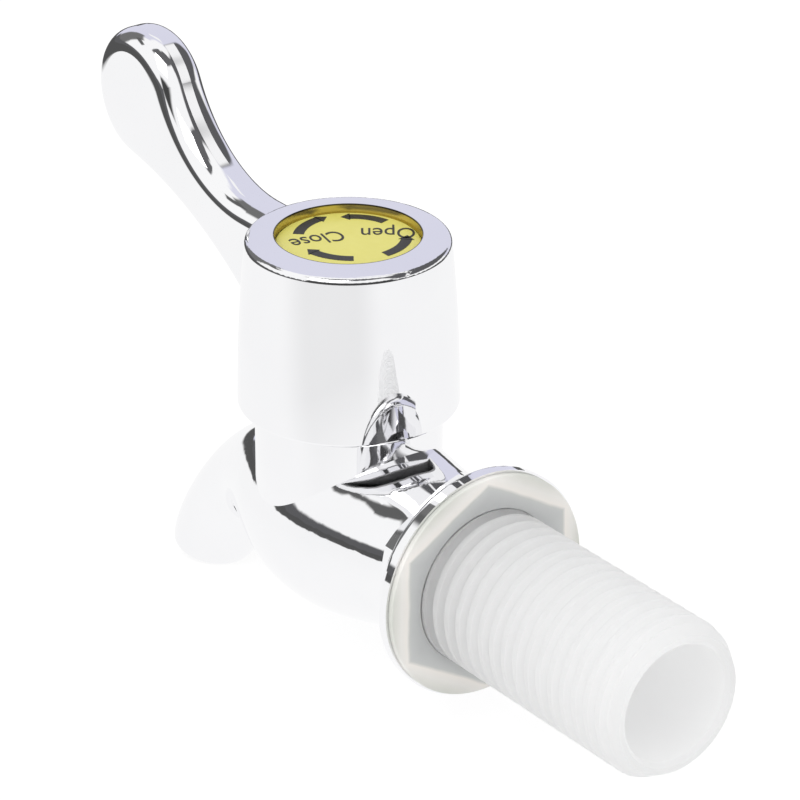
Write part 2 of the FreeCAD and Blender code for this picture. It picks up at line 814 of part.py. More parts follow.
def add_lever(body):
    outline = new_sketch(body, "lever_outline", "XZ_Plane")
    draw_lever(outline)
    blade = extruded(body, "Pad", "lever", outline, s.lever_thickness, midplane=True)
    half = s.lever_thickness.value / 2

    def on_side(edge):
        box = edge.BoundBox
        level = box.YLength < TOUCH and abs(abs(box.YMin) - half) < TOUCH
        return level and box.XMin < -s.skirt_radius.value

    rounded(body, "lever_edges", blade, on_side, s.lever_round)


def build_handle():
    body = new_body("handle", PLUG_AXIS)
    add_cap(body)
    add_lever(body)
    return body


def build_handle_screw():
    """Slotted pan-head screw, its head down on the washer."""
    body = new_body("handle_screw", PLUG_AXIS, WEB_TOP + s.screw_washer_thickness)
    spun(body, "screw", [
        (0, -s.screw_length),
        (s.screw_radius - s.fixed_gap, -s.screw_length),
        (s.screw_radius, s.fixed_gap - s.screw_length),
        (s.screw_radius, 0),
        (s.screw_head_radius, 0),
        (s.screw_head_radius, s.screw_head_height / 2),
        (s.screw_head_radius - s.screw_head_height / 2, s.screw_head_height),
        (0, s.screw_head_height),
    ])
    slot = new_sketch(body, "slot_outline", "XY_Plane", (0, 0, s.screw_head_height))
    half = s.screw_slot_width / 2
    draw_outline(slot, rectangle(-s.screw_head_radius, -half, s.screw_head_radius, half))
    extruded(body, "Pocket", "slot", slot, s.screw_slot_depth)
    return body


def build_screw_washer():
    return flat_ring(
        "screw_washer", s.screw_washer_radius, SCREW_HOLE, s.screw_washer_thickness, PLUG_AXIS, WEB_TOP
    )


def build_indicator_disc():
    """Round plate that snaps into the cap over the screw."""
    body = new_body("indicator_disc", PLUG_AXIS, DISC_SEAT)
    radius = s.rim_bore - s.fixed_gap
    spun(body, "disc", [
        (0, 0),
        (radius, 0),
        (radius, s.disc_thickness - s.disc_bevel),
        (radius - s.disc_bevel, s.disc_thickness),
        (0, s.disc_thickness),
    ])
    return body


def build_all():
    return [
        build_valve_body(),
        build_tail_tube(),
        build_tail_seal(),
        build_flange_washer(),
        build_rotor_plug(),
        build_plug_seal("upper_o_ring", s.seal_height),
        build_plug_seal("lower_o_ring", -s.seal_height),
        build_port_seat("inlet_seat", 0),
        build_port_seat("outlet_seat", 180),
        build_thrust_washer(),
        build_gland_nut(),
        build_gland_seal(),
        build_handle(),
        build_handle_screw(),
        build_screw_washer(),
        build_indicator_disc(),
    ]


def check(pieces):
    """Stop if any object failed or any piece has no sound solid."""
    for item in doc.Objects:
        if "Invalid" in item.State or "Error" in item.State:
            raise RuntimeError(f"{item.Label} did not build")
    for piece in pieces:
        shape = piece.Shape
        if shape.isNull() or not shape.isValid() or len(shape.Solids) != 1:
            raise RuntimeError(f"{piece.Label} is not one sound solid")


def write(pieces):
    os.makedirs("parts", exist_ok=True)
    for piece in pieces:
        piece.Shape.exportStep(f"parts/{piece.Label}.step")
        print(f"{piece.Label}: {piece.Shape.Volume:.1f} mm3")


tap = build_all()
doc.recompute()
check(tap)
write(tap)
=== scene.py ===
import math

import bpy
from mathutils import Matrix, Vector


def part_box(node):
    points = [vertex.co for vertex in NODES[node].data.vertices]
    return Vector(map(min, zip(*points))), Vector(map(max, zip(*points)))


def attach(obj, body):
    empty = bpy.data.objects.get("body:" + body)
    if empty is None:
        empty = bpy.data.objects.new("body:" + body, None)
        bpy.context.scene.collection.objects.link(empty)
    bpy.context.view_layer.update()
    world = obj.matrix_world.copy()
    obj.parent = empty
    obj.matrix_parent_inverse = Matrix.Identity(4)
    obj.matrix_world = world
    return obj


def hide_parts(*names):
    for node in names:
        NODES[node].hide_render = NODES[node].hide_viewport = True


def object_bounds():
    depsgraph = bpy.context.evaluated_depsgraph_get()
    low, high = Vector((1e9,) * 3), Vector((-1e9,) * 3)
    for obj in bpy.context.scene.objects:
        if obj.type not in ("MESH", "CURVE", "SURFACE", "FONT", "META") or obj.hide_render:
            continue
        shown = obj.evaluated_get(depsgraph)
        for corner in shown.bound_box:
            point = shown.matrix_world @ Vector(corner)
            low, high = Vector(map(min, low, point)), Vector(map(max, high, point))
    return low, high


# Looks of the bottle tap: plated moulding and lever, clear-white threaded tail, soft washer
# and the printed disc in the cap. Lengths are in metres, in the frame of the solids.

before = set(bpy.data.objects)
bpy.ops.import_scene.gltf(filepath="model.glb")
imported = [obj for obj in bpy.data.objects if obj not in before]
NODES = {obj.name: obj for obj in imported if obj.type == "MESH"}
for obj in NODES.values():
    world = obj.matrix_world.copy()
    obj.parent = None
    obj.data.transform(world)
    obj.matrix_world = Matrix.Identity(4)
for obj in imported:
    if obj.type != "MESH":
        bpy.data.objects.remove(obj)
cad_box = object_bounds()

MM = 0.001

# Photograph's view: camera place, aim and lens
CAMERA_PLACE = Vector((276.57, -217.45, 192.71)) * MM
CAMERA_AZIMUTH = 36.80
CAMERA_ELEVATION = 26.17
CAMERA_ROLL = 0.14
CAMERA_NEAR = 0.01
CAMERA_FAR = 20.0
FOCAL_PIXELS = 4134.0
IMAGE_PIXELS = 800
SENSOR = 36.0
AXIS_PIXEL = (400.5, 401.0)


# Shader nodes

# Stretch of a noise's values that is used in full
NOISE_LOW = 0.3
NOISE_HIGH = 0.7
GRAIN_HEIGHT = 0.02 * MM


class Sum:
    """A shader socket that takes part in plain arithmetic."""

    def __init__(self, tree, socket):
        self.tree = tree
        self.socket = socket

    def _math(self, operation, *values):
        return self.tree.maths(operation, *values)

    def __add__(self, other):
        return self._math("ADD", self, other)

    def __radd__(self, other):
        return self._math("ADD", other, self)

    def __sub__(self, other):
        return self._math("SUBTRACT", self, other)

    def __rsub__(self, other):
        return self._math("SUBTRACT", other, self)

    def __mul__(self, other):
        return self._math("MULTIPLY", self, other)

    def __rmul__(self, other):
        return self._math("MULTIPLY", other, self)

    def __pow__(self, other):
        return self._math("POWER", self, other)


class Tree:
    """A node tree of a material or the world, written as expressions."""

    def __init__(self, owner):
        owner.use_nodes = True
        self.tree = owner.node_tree
        self.tree.nodes.clear()

    def node(self, kind, settings=None, inputs=(), output=0):
        made = self.tree.nodes.new(kind)
        for name, value in (settings or {}).items():
            if name == "stops":
                self._set_stops(made.color_ramp, value)
            else:
                setattr(made, name, value)
        named = inputs.items() if isinstance(inputs, dict) else enumerate(inputs)
        for name, value in named:
            self.join(made.inputs[name], value)
        return Sum(self, made.outputs[output])

    def join(self, socket, value):
        if isinstance(value, Sum):
            self.tree.links.new(value.socket, socket)
        else:
            socket.default_value = value

    @staticmethod
    def _set_stops(ramp, stops):
        while len(ramp.elements) < len(stops):
            ramp.elements.new(0.5)
        for element, (place, colour) in zip(ramp.elements, stops):
            element.position = place
            element.color = colour

    def maths(self, operation, *values):
        return self.node("ShaderNodeMath", {"operation": operation}, values)

    def place(self, kind="Object"):
        return self.node("ShaderNodeTexCoord", output=kind)

    def split(self, vector):
        """The X, Y and Z of a vector."""
        made = self.tree.nodes.new("ShaderNodeSeparateXYZ")
        self.join(made.inputs[0], vector)
        return [Sum(self, socket) for socket in made.outputs]

    def noise(self, scale, detail, stretch=(1.0, 1.0, 1.0)):
        """Soft clouds over the surface, squeezed along the axes by the stretch."""
        place = self.node("ShaderNodeMapping", inputs={"Vector": self.place(), "Scale": stretch})
        values = {"Vector": place, "Scale": scale, "Detail": detail}
        return self.node("ShaderNodeTexNoise", inputs=values)

    def between(self, value, low, high, to_low=0.0, to_high=1.0):
        values = {
            "Value": value, "From Min": low, "From Max": high, "To Min": to_low, "To Max": to_high,
        }
        return self.node("ShaderNodeMapRange", inputs=values)

    def mixed(self, factor, first, second):
        made = self.tree.nodes.new("ShaderNodeMix")
        made.data_type = "RGBA"
        self.join(made.inputs["Factor"], factor)
        self.join(made.inputs["A"], first)
        self.join(made.inputs["B"], second)
        colours = [socket for socket in made.outputs if socket.type == "RGBA"]
        return Sum(self, colours[0])

    def clouded(self, scale, detail, first, second):
        """One colour that drifts into another in soft clouds."""
        return self.mixed(self.noise(scale, detail), first, second)

    def uneven(self, scale, detail, low, high, stretch=(1.0, 1.0, 1.0)):
        """A number that wanders between low and high."""
        return self.between(self.noise(scale, detail, stretch), NOISE_LOW, NOISE_HIGH, low, high)

    def grain(self, scale, detail, strength):
        """A fine unevenness of the surface."""
        height = self.noise(scale, detail)
        values = {"Height": height, "Distance": GRAIN_HEIGHT, "Strength": strength}
        return self.node("ShaderNodeBump", inputs=values)

    def finish(self, owner_kind, shader):
        out = self.tree.nodes.new(f"ShaderNodeOutput{owner_kind}")
        self.join(out.inputs["Surface"], shader)


def finish_of(name, **inputs):
    """A new material with one principled shader; a function value gets the tree and makes a socket."""
    material = bpy.data.materials.new(name)
    tree = Tree(material)
    values = {
        key.replace("_", " "): (value(tree) if callable(value) else value)
        for key, value in inputs.items()
    }
    tree.finish("Material", tree.node("ShaderNodeBsdfPrincipled", inputs=values))
    return material


def tone(red, green, blue):
    return (red, green, blue, 1.0)


def grey(level):
    return tone(level, level, level)


# Plating, with painted reflection and shade on the handle's wall round the disc, and where the handle's
# plating is missing

RECESS_MARGIN = 0.14 * MM
RECESS_HEIGHT = 0.90 * MM
RECESS_EDGE = 0.22 * MM
RECESS_SATIN = 0.25
HOLLOW_RADIUS = 10.15 * MM
HOLLOW_SATIN = 0.45
FADE = 0.1 * MM


def from_stem(tree):
    """How far the surface lies from the stem's axis, and its height."""
    low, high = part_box("indicator_disc")
    middle = (low + high) / 2
    x, y, z = tree.split(tree.place())
    return ((x - middle.x) ** 2 + (y - middle.y) ** 2) ** 0.5, z


def recess_wall(tree):
    """1 on the wall round the disc, 0 on the rest of the handle."""
    low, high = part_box("indicator_disc")
    reach, height = from_stem(tree)
    limit = (high.x - low.x) / 2 + RECESS_MARGIN
    inside = tree.between(reach, limit, limit - FADE / 2)
    return inside * tree.between(height, high.z - 2 * FADE, high.z - FADE)


def recess_edge(tree):
    """1 along the upper edge of the wall round the disc."""
    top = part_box("indicator_disc")[1].z + RECESS_HEIGHT
    _, height = from_stem(tree)
    return tree.between(height, top - RECESS_EDGE, top - RECESS_EDGE / 2)


def cap_hollow(tree):
    """1 on the walls of the cap's hollow, 0 on the rest of the handle."""
    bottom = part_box("indicator_disc")[0].z
    reach, height = from_stem(tree)
    inside = tree.between(reach, HOLLOW_RADIUS, HOLLOW_RADIUS - FADE / 2)
    return inside * tree.between(height, bottom - FADE, bottom - 2 * FADE)


def plating_colour(tree):
    return tree.clouded(90.0, 3.0, tone(0.90, 0.90, 0.915), tone(0.955, 0.955, 0.965))


def plating_polish(tree):
    return tree.uneven(260.0, 4.0, 0.025, 0.06)


def plating_waves(tree):
    return tree.grain(140.0, 1.0, 0.35)


def chrome():
    return finish_of(
        "polished_plating", Metallic=1.0,
        Base_Color=plating_colour, Roughness=plating_polish, Normal=plating_waves,
    )


def handle_chrome():
    """Plating of the handle: satin on the wall round the disc, coloured there with a painted dim
    reflection of the yellow disc and a painted shade line along its upper edge; none in the cap's hollow.
    """
    def colour(tree):
        # Painted light: the gold-brown is a painted dim reflection of the yellow disc, the near-black a
        # painted shade line along the wall's upper edge
        painted_reflection_and_shade = tree.mixed(recess_edge(tree), tone(0.70, 0.58, 0.27), tone(0.06, 0.055, 0.05))
        plated = tree.mixed(recess_wall(tree), plating_colour(tree), painted_reflection_and_shade)
        return tree.mixed(cap_hollow(tree), plated, grey(0.42))

    def metal(tree):
        return 1.0 - cap_hollow(tree)

    def polish(tree):
        satin = recess_wall(tree) * RECESS_SATIN + cap_hollow(tree) * HOLLOW_SATIN
        return plating_polish(tree) + satin

    return finish_of(
        "handle_plating", Metallic=metal, Base_Color=colour, Roughness=polish,
        Normal=plating_waves,
    )


# Plastics, rubbers, print and steel

TAIL_DEPTH_OF_LIGHT = 6.0 * MM
TAIL_LIT_THROUGH = 0.70
WASHER_DEPTH_OF_LIGHT = 1.0 * MM
WASHER_SOFTNESS = 0.35
# The tail's plate painted as seen through the washer, as painted shade, highlight and reflection: bearings
# of its flats in degrees, the stretch over which the tones run and how far their lines wander, both in
# millimetres
PLATE_SIDES = (0.0, 60.0, 120.0)
PLATE_REACH = (8.0, 11.5)
PLATE_WANDER = 0.5
WASHER_PAINTED_LIGHT_TONES = [
    (0.0, tone(0.56, 0.57, 0.57)),
    (0.28, tone(0.60, 0.61, 0.605)),
    (0.36, tone(0.62, 0.63, 0.615)),
    (0.46, tone(0.94, 0.90, 0.85)),
    (0.66, tone(0.88, 0.86, 0.82)),
    (1.0, tone(0.66, 0.67, 0.62)),
]


def tail_plastic():
    """Clear-white plastic: light passes through its wall and softens its shade."""
    material = bpy.data.materials.new("clear_white_plastic")
    tree = Tree(material)
    cloud = tree.noise(120.0, 2.0, (1.0, 3.0, 3.0))
    values = {
        "Base Color": tree.mixed(cloud, tone(0.95, 0.955, 0.96), grey(0.98)),
        "Roughness": tree.uneven(700.0, 3.0, 0.30, 0.42),
        "Normal": tree.grain(1500.0, 2.0, 0.4),
        "Subsurface Weight": 1.0,
        "Subsurface Radius": [TAIL_DEPTH_OF_LIGHT] * 3,
        "Subsurface Scale": 1.0,
    }
    solid = tree.node("ShaderNodeBsdfPrincipled", inputs=values)
    lit_through = tree.node("ShaderNodeBsdfTranslucent", inputs={"Color": grey(0.965)})
    shares = (TAIL_LIT_THROUGH, solid, lit_through)
    tree.finish("Material", tree.node("ShaderNodeMixShader", inputs=shares))
    return material


def washer_rubber():
    """Milky soft washer; the plate behind it is painted in as a greyer hexagon of painted shade, with a
    creamy painted highlight round it and a painted greyer reflection at the rim.
    """
    def colour(tree):
        _, y, z = tree.split(tree.place())
        reach = 0.0
        for side in PLATE_SIDES:
            turn = math.radians(side)
            flat = tree.maths("ABSOLUTE", y * math.cos(turn) + z * math.sin(turn))
            reach = tree.maths("MAXIMUM", reach, flat)
        wander = (tree.noise(220.0, 2.0) - 0.5) * PLATE_WANDER
        place = tree.between(reach * (1.0 / MM) + wander, *PLATE_REACH)
        # Painted light by distance from the plate's hexagon: grey painted shade inside, cream painted
        # highlight, grey-green painted reflection at the rim
        return tree.node("ShaderNodeValToRGB", {"stops": WASHER_PAINTED_LIGHT_TONES}, [place])

    return finish_of(
        "soft_washer", Base_Color=colour,
        Roughness=lambda tree: tree.uneven(900.0, 3.0, 0.34, 0.48),
        Normal=lambda tree: tree.grain(1800.0, 2.0, 0.5),
        Subsurface_Weight=WASHER_SOFTNESS,
        Subsurface_Radius=[WASHER_DEPTH_OF_LIGHT] * 3, Subsurface_Scale=1.0,
    )


def silicone():
    return finish_of(
        "seat_silicone", Roughness=0.45,
        Base_Color=lambda tree: tree.clouded(300.0, 2.0, tone(0.52, 0.53, 0.51), tone(0.58, 0.59, 0.57)),
    )


def yellow_print():
    return finish_of(
        "yellow_disc",
        Base_Color=lambda tree: tree.clouded(900.0, 3.0, tone(0.70, 0.65, 0.135), tone(0.75, 0.70, 0.175)),
        Roughness=lambda tree: tree.uneven(500.0, 2.0, 0.28, 0.38),
    )


def dark_ink():
    return finish_of(
        "dark_ink", Roughness=0.5,
        Base_Color=lambda tree: tree.clouded(
            2500.0, 3.0, tone(0.014, 0.013, 0.011), tone(0.040, 0.038, 0.032)),
    )


def black_rubber():
    return finish_of(
        "seal_rubber_black", Roughness=0.55,
        Base_Color=lambda tree: tree.clouded(
            600.0, 3.0, tone(0.012, 0.012, 0.013), tone(0.030, 0.030, 0.032)),
    )


def white_acetal():
    return finish_of(
        "white_valve_plastic",
        Base_Color=lambda tree: tree.clouded(300.0, 2.0, tone(0.74, 0.74, 0.70), tone(0.80, 0.80, 0.77)),
        Roughness=lambda tree: tree.uneven(900.0, 2.0, 0.38, 0.5),
    )


def turned_steel():
    return finish_of(
        "turned_steel", Metallic=1.0,
        Base_Color=lambda tree: tree.clouded(500.0, 2.0, tone(0.50, 0.50, 0.51), tone(0.60, 0.60, 0.61)),
        Roughness=lambda tree: tree.uneven(900.0, 3.0, 0.22, 0.38, (1.0, 1.0, 8.0)),
    )


# Hand work on meshes

MERGE = 1e-6


def deselect_all():
    if bpy.context.object and bpy.context.object.mode != "OBJECT":
        bpy.ops.object.mode_set(mode="OBJECT")
    bpy.ops.object.select_all(action="DESELECT")


def take(piece):
    """Makes a piece the only one selected and the active one."""
    deselect_all()
    piece.select_set(True)
    bpy.context.view_layer.objects.active = piece


def apply_modifiers(piece):
    take(piece)
    for modifier in list(piece.modifiers):
        bpy.ops.object.modifier_apply(modifier=modifier.name)


def edit(piece, mode="VERT"):
    """Opens a piece in edit mode with nothing of it selected."""
    take(piece)
    bpy.ops.object.mode_set(mode="EDIT")
    bpy.ops.mesh.select_mode(type=mode)
    bpy.ops.mesh.select_all(action="DESELECT")


def edit_all(piece, mode="VERT"):
    """Opens a piece in edit mode with all of it selected."""
    edit(piece, mode)
    bpy.ops.mesh.select_all(action="SELECT")


def done():
    bpy.ops.object.mode_set(mode="OBJECT")


def turn_faces_out(piece):
    edit_all(piece)
    bpy.ops.mesh.normals_make_consistent(inside=False)
    done()


def paint(piece, material):
    piece.data.materials.clear()
    piece.data.materials.append(material)


def smooth(piece, degrees):
    take(piece)
    bpy.ops.object.shade_smooth_by_angle(angle=math.radians(degrees))


def shape_flat(piece, places):
    """Moves the vertices of a flat face, in their order round it, to these places."""
    take(piece)
    bpy.ops.object.transform_apply(location=True, rotation=True, scale=True)
    for index, place in zip(piece.data.polygons[0].vertices, places):
        piece.data.vertices[index].co = place


def copy_of_node(name, new_name):
    """A merged copy of a solid, to be worked on by hand."""
    piece = NODES[name].copy()
    piece.data = NODES[name].data.copy()
    piece.name = new_name
    bpy.context.collection.objects.link(piece)
    edit_all(piece)
    bpy.ops.mesh.remove_doubles(threshold=MERGE)
    bpy.ops.mesh.customdata_custom_splitnormals_clear()
    done()
    return piece


# Tail with its thread

THREAD_START = 0.4 * MM
THREAD_PITCH = 1.75 * MM
THREAD_DEPTH = 0.50 * MM
THREAD_ROOT_WIDTH = 0.25 * MM
THREAD_CREST_GAP = 1.25 * MM
TAIL_CREST = 8.0 * MM
TAIL_SMOOTHING = 32.0
CUTTER_OVERRUN = 0.10 * MM
CUTTER_STEPS = 96


def thread_cutter(start, end):
    """A helical tool of the thread's groove, from start to end along X."""
    root = TAIL_CREST - THREAD_DEPTH
    top = TAIL_CREST + CUTTER_OVERRUN
    slope = (THREAD_CREST_GAP - THREAD_ROOT_WIDTH) / 2 / THREAD_DEPTH
    half_root = THREAD_ROOT_WIDTH / 2
    half_top = half_root + slope * (top - root)
    deselect_all()
    bpy.ops.mesh.primitive_plane_add(size=1.0, location=(0.0, 0.0, 0.0))
    tool = bpy.context.object
    tool.name = "thread_cutter"
    shape_flat(tool, [
        Vector((start - half_root, root, 0.0)), Vector((start + half_root, root, 0.0)),
        Vector((start + half_top, top, 0.0)), Vector((start - half_top, top, 0.0)),
    ])
    edit_all(tool, "FACE")
    bpy.ops.mesh.delete(type="ONLY_FACE")
    done()
    screw = tool.modifiers.new("helix", "SCREW")
    screw.axis = "X"
    screw.angle = math.tau
    screw.screw_offset = THREAD_PITCH
    screw.iterations = math.ceil((end - start) / THREAD_PITCH)
    screw.steps = CUTTER_STEPS
    screw.render_steps = CUTTER_STEPS
    screw.use_merge_vertices = False
    apply_modifiers(tool)
    edit(tool)
    bpy.ops.mesh.select_non_manifold()
    bpy.ops.mesh.fill()
    done()
    turn_faces_out(tool)
    return tool


def cut_with(piece, tool):
    """Cuts the tool from the piece and drops it."""
    boolean = piece.modifiers.new("cut", "BOOLEAN")
    boolean.operation = "DIFFERENCE"
    boolean.solver = "EXACT"
    boolean.object = tool
    apply_modifiers(piece)
    bpy.data.objects.remove(tool)


def threaded_tail(material):
    """The tail with its thread cut round it, in place of the plain solid."""
    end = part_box("tail_tube")[1].x
    piece = copy_of_node("tail_tube", "threaded_tail")
    cut_with(piece, thread_cutter(THREAD_START, end + THREAD_PITCH))
    smooth(piece, TAIL_SMOOTHING)
    paint(piece, material)
    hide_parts("tail_tube")
    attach(piece, "tap_body")


# Washer

WASHER_PLAY = 0.5 * MM
WASHER_EDGE = 0.12 * MM
WASHER_EDGE_STEPS = 3
WASHER_SMOOTHING = 40.0


def soft_washer(material):
    """The washer with softened edges, its bore closed onto the tail."""
    piece = copy_of_node("flange_washer", "soft_washer")
    for vertex in piece.data.vertices:
        reach = math.hypot(vertex.co.y, vertex.co.z)
        if reach < TAIL_CREST + WASHER_PLAY:
            vertex.co.y *= TAIL_CREST / reach
            vertex.co.z *= TAIL_CREST / reach
    rim = piece.modifiers.new("soft_edge", "BEVEL")
    rim.width = WASHER_EDGE
    rim.segments = WASHER_EDGE_STEPS
    rim.limit_method = "ANGLE"
    apply_modifiers(piece)
    smooth(piece, WASHER_SMOOTHING)
    paint(piece, material)
    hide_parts("flange_washer")
    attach(piece, "tap_body")


# Print on the disc

PRINT_CENTRE = Vector((-0.8, 1.1)) * MM
PRINT_INNER = 4.8 * MM
PRINT_OUTER = 5.9 * MM
PRINT_HEAD_INNER = 4.55 * MM
PRINT_HEAD_OUTER = 6.15 * MM
PRINT_TIP = 5.4 * MM
PRINT_RISE = 0.03 * MM
PRINT_SINK = 0.02 * MM
PRINT_MERGE = 1e-7
ARROW_BAND = 46.0
ARROW_HEAD = 10.0
ARROW_OVERLAP = 1.0
ARROW_STEPS = 18
# Start of each arrow in degrees, its way round, and how much nearer the centre it lies
ARROWS = {
    "arrow_close_near": (-35.0, -1.0, 0.0),
    "arrow_close_far": (-132.0, -1.0, 0.0),
    "arrow_open_far": (102.0, 1.0, 0.55 * MM),
    "arrow_open_near": (0.0, 1.0, 0.0),
}
# Letters of each word, its foot, its turn in degrees, its length and its height
WORDS = {
    "word_close": ("Close", Vector((-2.75, 0.75)) * MM, -102.0, 5.4 * MM, 2.35 * MM),
    "word_open": ("Open", Vector((1.24, 7.22)) * MM, -126.0, 5.3 * MM, 2.45 * MM),
}
LETTER_STEPS = 6


def disc_centre():
    low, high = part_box("indicator_disc")
    return Vector(((low.x + high.x) / 2, (low.y + high.y) / 2, high.z))


def on_ring(centre, radius, degrees):
    angle = math.radians(degrees)
    return centre + Vector((math.cos(angle), math.sin(angle), 0.0)) * radius


def on_ray(point, centre, degrees):
    """Whether a point lies on the line through the centre at this angle."""
    ray = on_ring(Vector(), 1.0, degrees)
    offset = point - centre
    return abs(offset.x * ray.y - offset.y * ray.x) < MERGE


def arrow(name, start, way, nearer, material):
    """A curved band with a pointed head, cut from the ring of arrows."""
    centre = disc_centre() + PRINT_CENTRE.to_3d()
    inner, outer, tip = PRINT_INNER - nearer, PRINT_OUTER - nearer, PRINT_TIP - nearer
    head_inner, head_outer = PRINT_HEAD_INNER - nearer, PRINT_HEAD_OUTER - nearer
    end = start + way * ARROW_BAND
    step = way * ARROW_BAND / ARROW_STEPS
    bpy.ops.mesh.primitive_plane_add(size=1.0)
    band = bpy.context.object
    shape_flat(band, [
        on_ring(centre, inner, start), on_ring(centre, outer, start),
        on_ring(centre, outer, start + step), on_ring(centre, inner, start + step),
    ])
    edit(band, "EDGE")
    done()
    for edge in band.data.edges:
        ends = [band.data.vertices[index].co for index in edge.vertices]
        edge.select = all(on_ray(point, centre, start + step) for point in ends)
    bpy.ops.object.mode_set(mode="EDIT")
    bpy.ops.mesh.spin(
        steps=ARROW_STEPS - 1, angle=-math.radians(end - start - step),
        center=centre, axis=(0.0, 0.0, 1.0),
    )
    done()
    bpy.ops.mesh.primitive_circle_add(vertices=3, radius=MM, fill_type="NGON")
    head = bpy.context.object
    foot = end - way * ARROW_OVERLAP
    shape_flat(head, [
        on_ring(centre, head_inner, foot), on_ring(centre, head_outer, foot),
        on_ring(centre, tip, end + way * ARROW_HEAD),
    ])
    printed([band, head], name, material)


def word(name, text, foot, degrees, length, height, material):
    """A word that starts at its foot, is turned in the disc's plane and fits its length."""
    deselect_all()
    bpy.ops.object.text_add(location=(0.0, 0.0, 0.0))
    piece = bpy.context.object
    piece.data.body = text
    piece.data.resolution_u = LETTER_STEPS
    bpy.ops.object.convert(target="MESH")
    left = min(vertex.co.x for vertex in piece.data.vertices)
    right = max(vertex.co.x for vertex in piece.data.vertices)
    top = max(vertex.co.y for vertex in piece.data.vertices)
    place = Matrix.Translation(disc_centre() + foot.to_3d())
    turn = Matrix.Rotation(math.radians(degrees), 4, "Z")
    grow = Matrix.Diagonal((length / (right - left), height / top, 1.0, 1.0))
    piece.data.transform(place @ turn @ grow @ Matrix.Translation((-left, 0.0, 0.0)))
    printed([piece], name, material)


def printed(parts, name, material):
    """Joins flat print into one piece and gives it thickness, its foot just inside the disc."""
    take(parts[0])
    for part in parts:
        part.select_set(True)
    if len(parts) > 1:
        bpy.ops.object.join()
    piece = bpy.context.object
    piece.name = name
    edit_all(piece)
    bpy.ops.mesh.remove_doubles(threshold=PRINT_MERGE)
    done()
    turn_faces_out(piece)
    thick = piece.modifiers.new("ink", "SOLIDIFY")
    thick.thickness = PRINT_RISE + PRINT_SINK
    thick.offset = 0.0
    apply_modifiers(piece)
    piece.data.transform(Matrix.Translation((0.0, 0.0, (PRINT_RISE - PRINT_SINK) / 2)))
    turn_faces_out(piece)
    paint(piece, material)
    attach(piece, "turning_handle")


# Stage

PLAIN_LIGHT = 0.88
FLOOR_SIZE = 6.0
FLOOR_DROP = 0.1 * MM
FLOOR_GREY = 0.86
FLOOR_GLOW = 1.12
FLOOR_GLOW_SHARE = 0.75
ROOM_LEVEL = 1.0
# White paper on the mirrored table, which fades to the dim room past its edge
PAPER_RADIUS = 0.20
PAPER_FADE_TO = 0.23
PAPER_PAST_EDGE = 0.09
# Mirrored table: it darkens from near to far from the tap, and more on one bearing
SHADE_BEARING = -60.0
SHADE_HALF = 25.0
SHADE_SOFT = 35.0
SHADE_NEAR = 0.035
SHADE_FAR = 0.085
SHADE_ALL = 0.02
SHADE_SIDE = 0.11
# What the plating mirrors above the table, in degrees: azimuth and its half width, elevation and
# its half height, soft margin, colour
CARDS = (
    (140.0, 46.0, 30.0, 32.0, 8.0, tone(0.72, 0.72, 0.84)),
    (62.0, 42.0, 40.0, 22.0, 7.0, tone(0.11, 0.11, 0.115)),
    (-166.0, 13.0, 27.0, 22.0, 6.0, grey(0.17)),
    (-145.0, 11.0, 41.5, 3.5, 3.0, grey(0.12)),
    (-34.0, 72.0, 72.0, 11.0, 6.0, tone(0.13, 0.13, 0.135)),
    (-80.0, 106.0, -1.0, 6.0, 3.0, tone(0.11, 0.11, 0.115)),
    (-34.0, 44.0, 6.0, 12.0, 7.0, grey(0.06)),
)
# A long narrow lamp: the lever's edge mirrors it as a streak along the lever
STREAK_POLE = (0.236, -0.836, 0.495)
STREAK_AZIMUTH = 92.0
STREAK_REACH = 62.0
STREAK_HALF = 1.8
STREAK_SOFT = 1.5
STREAK_LEVEL = 0.97
KEY_PLACE = Vector((0.2, -0.5, 0.7))
KEY_AIM = Vector((-0.02, 0.0, 0.0))
KEY_SIDE = 0.5
KEY_POWER = 2.4


def hang_key_lamp():
    """One soft square lamp over the near side."""
    lamp = bpy.data.lights.new("key_lamp", "AREA")
    lamp.shape = "RECTANGLE"
    lamp.size = lamp.size_y = KEY_SIDE
    lamp.energy = KEY_POWER
    holder = bpy.data.objects.new("key_lamp", lamp)
    bpy.context.collection.objects.link(holder)
    holder.location = KEY_PLACE
    holder.rotation_euler = (KEY_AIM - KEY_PLACE).to_track_quat("-Z", "Y").to_euler()


def set_camera():
    azimuth, elevation = math.radians(CAMERA_AZIMUTH), math.radians(CAMERA_ELEVATION)
    back = Vector((
        math.cos(elevation) * math.cos(azimuth),
        -math.cos(elevation) * math.sin(azimuth),
        math.sin(elevation),
    ))
    right = Vector((0.0, 0.0, 1.0)).cross(back).normalized()
    up = back.cross(right)
    turn = Matrix((right, up, back)).transposed()
    roll = Matrix.Rotation(math.radians(CAMERA_ROLL), 3, "Z")
    lens = bpy.data.cameras.new("photo_view")
    lens.sensor_width = SENSOR
    lens.lens = SENSOR * FOCAL_PIXELS / IMAGE_PIXELS
    lens.shift_x = (IMAGE_PIXELS / 2 - AXIS_PIXEL[0]) / IMAGE_PIXELS
    lens.shift_y = (AXIS_PIXEL[1] - IMAGE_PIXELS / 2) / IMAGE_PIXELS
    lens.clip_start, lens.clip_end = CAMERA_NEAR, CAMERA_FAR
    camera = bpy.data.objects.new("photo_view", lens)
    bpy.context.collection.objects.link(camera)
    camera.matrix_world = Matrix.Translation(CAMERA_PLACE) @ (turn @ roll).to_4x4()
    bpy.context.scene.camera = camera


